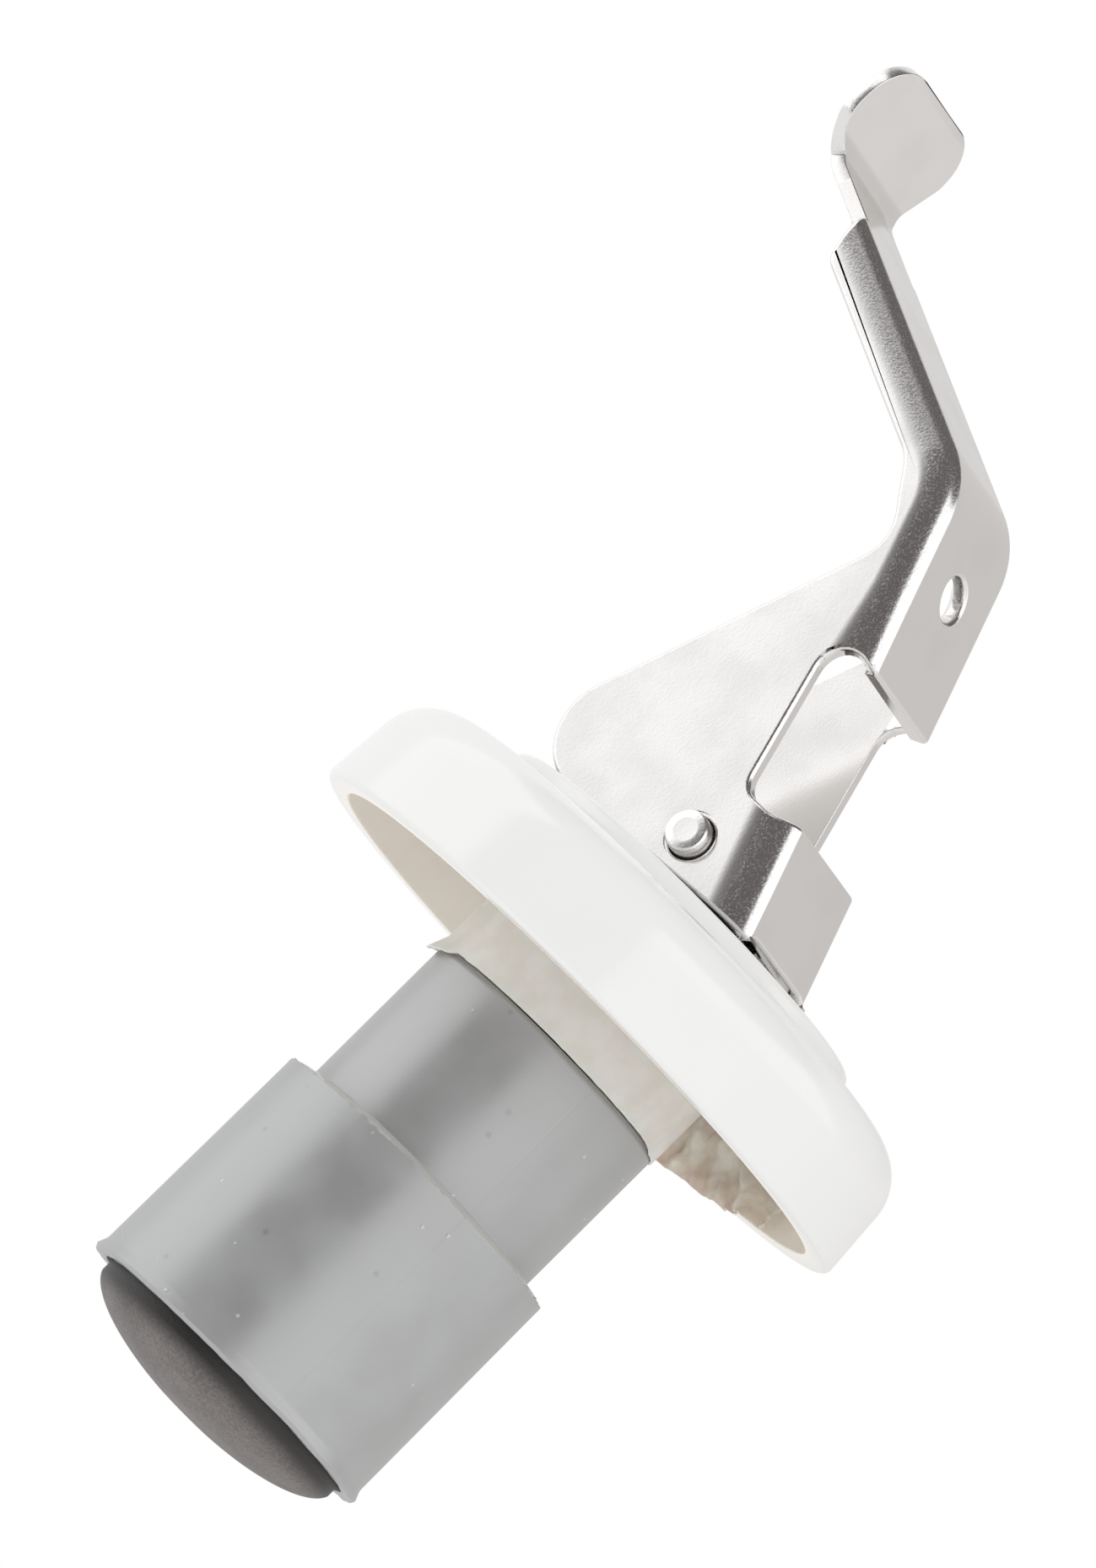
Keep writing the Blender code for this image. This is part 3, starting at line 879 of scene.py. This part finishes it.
def cheek_outline():
    """Side view of the lever, standing clear of its outer line."""
    out = 1.5
    arm_edge = (ARM_DIST - ARM_DEPTH, ARM_NORMAL)
    spine = (SPINE_DIST + out, SPINE_LEAN)
    arm = (ARM_DIST + out, ARM_NORMAL)
    slant = ARM_END_SLANT * (ARM_DEPTH + out) / ARM_DEPTH
    return rounded([
        (*crossing(BACK_LINE, BASE_LINE), CAM_R),
        (*crossing(BASE_LINE, spine), 0),
        (*crossing(spine, arm), KNEE_R + out),
        (*on_line(*arm, ARM_END + slant), 0),
        (*on_line(*arm_edge, ARM_END), 1.2),
        (*crossing(arm_edge, WAIST_LINE), 2.6),
        (*crossing(WAIST_LINE, BACK_LINE), 2.7),
    ], math.radians(3))


def window_outline():
    """Gap between the spine's two pieces, as (x, z) from the pin."""
    return rounded([
        (0.25, 3.65, 1.3),
        (2.4, 3.65, 2.0),
        (4.2, 4.35, 0),
        (9.0, 4.5, 0),
        (9.0, 11.0, 0),
        (-2.8, 13.25, 1.5),
    ])


def skin_depth(x, z):
    """Depth of a point under the sheet's outer line, and the way out there."""
    knee_x, knee_z = crossing((SPINE_DIST - KNEE_R, SPINE_LEAN),
                              (ARM_DIST - KNEE_R, ARM_NORMAL))
    angle = math.atan2(z - knee_z, x - knee_x)
    if SPINE_LEAN < angle < ARM_NORMAL:
        return KNEE_R - math.hypot(x - knee_x, z - knee_z), angle
    spine = SPINE_DIST - x * math.cos(SPINE_LEAN) - z * math.sin(SPINE_LEAN)
    arm = ARM_DIST - x * math.cos(ARM_NORMAL) - z * math.sin(ARM_NORMAL)
    return (spine, SPINE_LEAN) if spine < arm else (arm, ARM_NORMAL)


def on_outer_skin(face):
    """Whether a face lies on the outside of the bent sheet."""
    centre = face.calc_center_median() / MM
    if abs(face.normal.y) > 0.999:
        return abs(centre.y) > LEVER_W / 2 - 0.01
    depth, angle = skin_depth(centre.x, centre.z)
    if abs(face.normal.y) < 0.001:
        return depth < 0.03
    outward = face.normal.x * math.cos(angle) + face.normal.z * math.sin(angle)
    return outward > 0.02


def spine_foot_arch():
    """Room under the spine, whose lower edge is arched between the bends."""
    half = LEVER_W / 2 - 1.0
    outline = rounded([
        (-half - 1, -4.0, 0),
        (half + 1, -4.0, 0),
        (half, SPINE_FOOT_Z + 0.38, 1.2),
        (-half, SPINE_FOOT_Z + 0.38, 1.2),
    ])
    return bar(outline, 3, 9, along_x)


def spine_hole():
    centre = on_line(SPINE_DIST, SPINE_LEAN, 0)
    along = (SPINE_HOLE_Z - centre[1]) / math.cos(SPINE_LEAN)
    x, z = on_line(SPINE_DIST, SPINE_LEAN, along)
    bm = bar(circle(SPINE_HOLE_R, (0, 0), HOLE_STEPS), -2, 2, along_z)
    turn = Matrix.Rotation(math.pi / 2 - SPINE_LEAN, 4, "Y")
    bm.transform(Matrix.Translation((x * MM, 0, z * MM)) @ turn)
    return bm


def soften_rim(obj, rim, width):
    """Rounds a thickened sheet's edges: widely outside, barely inside."""
    bm = bmesh.new()
    bm.from_mesh(obj.data)
    weights = bm.edges.layers.float.new("bevel_weight_edge")
    for edge in bm.edges:
        if edge.calc_face_angle(0) < math.radians(50):
            continue
        outside = all(place_key(v.co) in rim for v in edge.verts)
        edge[weights] = 1.0 if outside else INNER_EDGE_ROUND / width
    bm.to_mesh(obj.data)
    bm.free()
    soften(obj, width, 4)
    obj.modifiers["edges"].limit_method = "WEIGHT"


def place_key(place):
    return tuple(round(c / MM, 3) for c in place)


def rim_places(obj):
    """Where the open edges of a sheet's outer face run."""
    bm = bmesh.new()
    bm.from_mesh(obj.data)
    found = {place_key(v.co) for v in bm.verts if v.is_boundary}
    bm.free()
    return found


def bend_reach(height):
    """How far the bend comes down the cheek at a height above the pin."""
    low, high = BEND_TAPER
    share = min(1.0, max(0.0, (height - low) / (high - low)))
    share = share * share * (3 - 2 * share)
    return BEND_DOWN_SPINE + (BEND_DOWN_ARM - BEND_DOWN_SPINE) * share


def stretch_bend(vert):
    """Turns the bend's round section into an ellipse at one point."""
    depth, angle = skin_depth(vert.co.x / MM, vert.co.z / MM)
    if depth > BEND_DOWN + 0.1:
        return
    edge = LEVER_W / 2 * MM
    inward = edge - abs(vert.co.y)
    side = math.copysign(1, vert.co.y)
    vert.co.y = side * (edge - inward * BEND_ACROSS / BEND_DOWN)
    shift = depth * (1 - bend_reach(vert.co.z / MM) / BEND_DOWN) * MM
    vert.co.x += shift * math.cos(angle)
    vert.co.z += shift * math.sin(angle)


def bent_channel():
    """A long channel's solid, its two bends rounded to an ellipse."""
    half = LEVER_W / 2
    bm = bar(channel_outline(), -half, half, along_y)
    edges = []
    for edge in bm.edges:
        a, b = (v.co / MM for v in edge.verts)
        depth = max(skin_depth(a.x, a.z)[0], skin_depth(b.x, b.z)[0])
        if abs(a.y - b.y) < 1e-4 and depth < 0.02:
            edges.append(edge)
    bmesh.ops.bevel(bm, geom=edges, offset=BEND_DOWN * MM, offset_type="OFFSET",
                    segments=14, profile=0.5, affect="EDGES", clamp_overlap=False)
    for vert in bm.verts:
        stretch_bend(vert)
    return bm


def lever_skin():
    """Outer face of the sheet channel, with its window and holes cut."""
    reach = LEVER_W / 2 + 1
    skin = make_object("lever_sheet", bent_channel())
    cut(skin, bar(cheek_outline(), -reach, reach, along_y), "INTERSECT")
    cut(skin, bar(window_outline(), -reach, reach, along_y))
    cut(skin, spine_hole())
    cut(skin, bar(circle(PIN_R + EYE_GAP, (0, 0)), -reach, reach, along_y))
    cut(skin, spine_foot_arch())
    settle(skin)
    bm = bmesh.new()
    bm.from_mesh(skin.data)
    bm.normal_update()
    inner = [f for f in bm.faces if not on_outer_skin(f)]
    bmesh.ops.delete(bm, geom=inner, context="FACES")
    bmesh.ops.remove_doubles(bm, verts=bm.verts, dist=0.012 * MM)
    bm.to_mesh(skin.data)
    bm.free()
    return skin


def tab_outline():
    """Strip and thumb paddle seen along X: (y, z) from the pin."""
    half = TAB_W / 2
    start = on_line(ARM_DIST, ARM_NORMAL, ARM_END + ARM_END_SLANT - 0.3)[1]
    return rounded([
        (-half, start, 0),
        (-half, 32.33, 0),
        (-3.72, 32.42, 0.05),
        (-5.42, 33.85, 2.0),
        (-5.3, 38.15, 3.0),
        (5.05, 38.25, 2.3),
        (5.2, 35.5, 1.5),
        (4.2, 32.35, 0.5),
        (half, 31.65, 0.2),
        (half, start, 0),
    ], math.radians(5))


def tab_x(z):
    """Where the strip, its bend or the paddle is at a height."""
    start = on_line(ARM_DIST, ARM_NORMAL, ARM_END)
    slope = math.tan(ARM_RISE)
    corner_z = start[1] + (start[0] - PADDLE_X) * slope
    back = TAB_BEND_R * math.tan(ARM_NORMAL / 2)
    centre_z = corner_z + back
    if z >= centre_z:
        return PADDLE_X
    if z > corner_z - back * math.sin(ARM_RISE):
        reach = math.sqrt(TAB_BEND_R ** 2 - (z - centre_z) ** 2)
        return PADDLE_X + TAB_BEND_R - reach
    return start[0] - (z - start[1]) / slope


def section(outline, z):
    """Lowest and highest y of a closed (y, z) outline at a height."""
    found = []
    for i, (a, b) in enumerate(outline):
        c, d = outline[(i + 1) % len(outline)]
        if min(b, d) <= z <= max(b, d):
            found += [a, c] if b == d else [a + (c - a) * (z - b) / (d - b)]
    return min(found), max(found)


def tab_skin():
    """Outer face of the strip and the thumb paddle."""
    outline = tab_outline()
    levels = sorted({z for _, z in outline} | {31.6 + 0.12 * k for k in range(16)})
    kept = [levels[0]]
    for z in levels[1:]:
        if z - kept[-1] > 0.004:
            kept.append(z)
    bm = bmesh.new()
    rows = []
    for z in kept:
        ends = section(outline, z)
        rows.append([bm.verts.new(along_y(tab_x(z), z - TAB_DROP, y)) for y in ends])
    for a, b in zip(rows, rows[1:]):
        bm.faces.new((a[0], a[1], b[1], b[0]))
    bmesh.ops.recalc_face_normals(bm, faces=bm.faces)
    if sum(f.normal.x * f.calc_area() for f in bm.faces) < 0:
        bmesh.ops.reverse_faces(bm, faces=bm.faces)
    return make_object("lever_tab", bm)


def thicken(obj):
    modifier = obj.modifiers.new("sheet", "SOLIDIFY")
    modifier.thickness = SHEET * MM
    modifier.offset = -1
    modifier.use_even_offset = True
    modifier.use_quality_normals = True


def make_lever():
    steel = steel_material("nickel_steel", (0.80, 0.785, 0.77, 1), 0.17, 0.006 * MM)
    for obj, edge in ((lever_skin(), EDGE_ROUND), (tab_skin(), TAB_EDGE_ROUND)):
        obj.location.z = PIN_Z * MM
        rim = rim_places(obj)
        thicken(obj)
        settle(obj)
        soften_rim(obj, rim, edge)
        settle(obj)
        shade(obj, 40)
        weigh_normals(obj)
        finish_piece(obj, steel, "lever", "lever")


# ------------------------------------------------------------------ studio

def camera_axes():
    """Image right, image up and the way back to the camera."""
    sin_a, cos_a = math.sin(CAMERA_AZIMUTH), math.cos(CAMERA_AZIMUTH)
    sin_d, cos_d = math.sin(CAMERA_DROP), math.cos(CAMERA_DROP)
    back = Vector((sin_a * cos_d, -cos_a * cos_d, -sin_d))
    level = Vector((cos_a, sin_a, 0))
    upright = back.cross(level)
    right = upright * math.cos(CAMERA_ROLL) + level * math.sin(CAMERA_ROLL)
    up = upright * math.sin(CAMERA_ROLL) - level * math.cos(CAMERA_ROLL)
    return right, up, back


def make_camera():
    right, up, back = camera_axes()
    target = Vector((0, 0, RIM_Z * MM)) - right * RIM_RIGHT - up * RIM_UP
    data = bpy.data.cameras.new("camera")
    data.sensor_fit = "VERTICAL"
    data.sensor_height = 36
    data.lens = data.sensor_height * CAMERA_DISTANCE / VIEW_HEIGHT
    data.clip_start = 0.01
    camera = bpy.data.objects.new("camera", data)
    bpy.context.scene.collection.objects.link(camera)
    turn = Matrix((right, up, back)).transposed().to_4x4()
    camera.matrix_world = Matrix.Translation(target + back * CAMERA_DISTANCE) @ turn
    bpy.context.scene.camera = camera


def make_floor():
    """Pale floor seen only from above, fading out into the white studio."""
    bm = bmesh.new()
    bmesh.ops.create_circle(bm, cap_ends=True, segments=96, radius=0.5)
    floor = make_object("floor", bm)
    floor.location.z = -0.05 * MM
    material, nodes, shader, place = new_material("floor", Roughness=0.8)
    shader.inputs["Base Color"].default_value = (0.86, 0.86, 0.86, 1)
    clear = nodes.add("ShaderNodeBsdfTransparent")
    blend = nodes.add("ShaderNodeMixShader")
    reach = nodes.add("ShaderNodeVectorMath", operation="LENGTH")
    nodes.link(place, reach.inputs[0])
    far = nodes.ramp(reach.outputs["Value"], 0.08, 0.4)
    behind = nodes.add("ShaderNodeNewGeometry").outputs["Backfacing"]
    nodes.link(nodes.maths("MAXIMUM", behind, far), blend.inputs[0])
    nodes.link(shader.outputs[0], blend.inputs[1])
    nodes.link(clear.outputs[0], blend.inputs[2])
    output = material.node_tree.nodes["Material Output"]
    nodes.link(blend.outputs[0], output.inputs["Surface"])
    floor.data.materials.append(material)
    floor.visible_diffuse = False
    floor.visible_glossy = False
    floor.visible_transmission = False
    floor.visible_shadow = False


def window_light(nodes, turn, rise, across, upward, soft):
    """Mask of a soft-edged window in the studio, from angles in degrees."""
    low, high = across
    bottom, top = upward
    mask = nodes.ramp(turn, low - soft, low + soft)
    mask = nodes.maths("MULTIPLY", mask, nodes.ramp(turn, high + soft, high - soft))
    mask = nodes.maths("MULTIPLY", mask, nodes.ramp(rise, bottom - soft, bottom + soft))
    return nodes.maths("MULTIPLY", mask, nodes.ramp(rise, top + soft, top - soft))


def studio_tones(nodes, turn, rise):
    """How bright the studio looks in a mirror, and how it lights the rest."""
    left = window_light(nodes, turn, rise, (-126, -67), (-25, 50), 3)
    right = window_light(nodes, turn, rise, (-4, 52), (-25, 34), 3)
    high = window_light(nodes, turn, rise, (-3, 100), (20, 52), 4)
    rear = window_light(nodes, turn, rise, (104, 179), (-40, 60), 8)
    front = window_light(nodes, turn, rise, (-67, -5), (-35, 70), 3)
    dark = nodes.maths("MAXIMUM", front, nodes.ramp(rise, 46, 56))
    level = nodes.mix(left, (0.95, 0.95, 0.95, 1), (1.12, 1.12, 1.12, 1))
    level = nodes.mix(right, level, (1.15, 1.15, 1.15, 1))
    behind = nodes.mix(nodes.ramp(rise, 12, 20), (0.78, 0.765, 0.755, 1),
                       (0.69, 0.675, 0.665, 1))
    level = nodes.mix(rear, level, behind)
    shiny = nodes.mix(left, level, (1.45, 1.45, 1.46, 1))
    shiny = nodes.mix(dark, shiny, (0.13, 0.12, 0.12, 1))
    shiny = nodes.mix(high, shiny, (1.5, 1.5, 1.5, 1))
    return shiny, nodes.mix(dark, level, (0.95, 0.95, 0.95, 1))


def make_studio():
    """White light tent with a dark opening round the camera and overhead."""
    world = bpy.data.worlds.new("studio")
    bpy.context.scene.world = world
    world.use_nodes = True
    nodes = Nodes(world.node_tree)
    background = world.node_tree.nodes["Background"]
    way = nodes.add("ShaderNodeTexCoord").outputs["Generated"]
    spin = nodes.add("ShaderNodeVectorRotate", rotation_type="Z_AXIS")
    nodes.link(way, spin.inputs["Vector"])
    spin.inputs["Angle"].default_value = math.pi / 2 - CAMERA_AZIMUTH
    parts = nodes.add("ShaderNodeSeparateXYZ")
    nodes.link(spin.outputs[0], parts.inputs[0])
    turn = nodes.maths("ARCTAN2", parts.outputs["Y"], parts.outputs["X"])
    turn = nodes.maths("DEGREES", turn)
    rise = nodes.maths("DEGREES", nodes.maths("ARCSINE", parts.outputs["Z"]))
    shiny, plain = studio_tones(nodes, turn, rise)
    path = nodes.add("ShaderNodeLightPath")
    tone = nodes.mix(path.outputs["Is Glossy Ray"], plain, shiny)
    tone = nodes.mix(path.outputs["Is Camera Ray"], tone, (1, 1, 1, 1))
    nodes.link(tone, background.inputs["Color"])
    bpy.context.scene.view_settings.view_transform = "Standard"


make_cap()
make_insert()
make_film()
make_sleeve()
make_plunger()
make_pin()
make_lever()
make_studio()
make_floor()
make_camera()
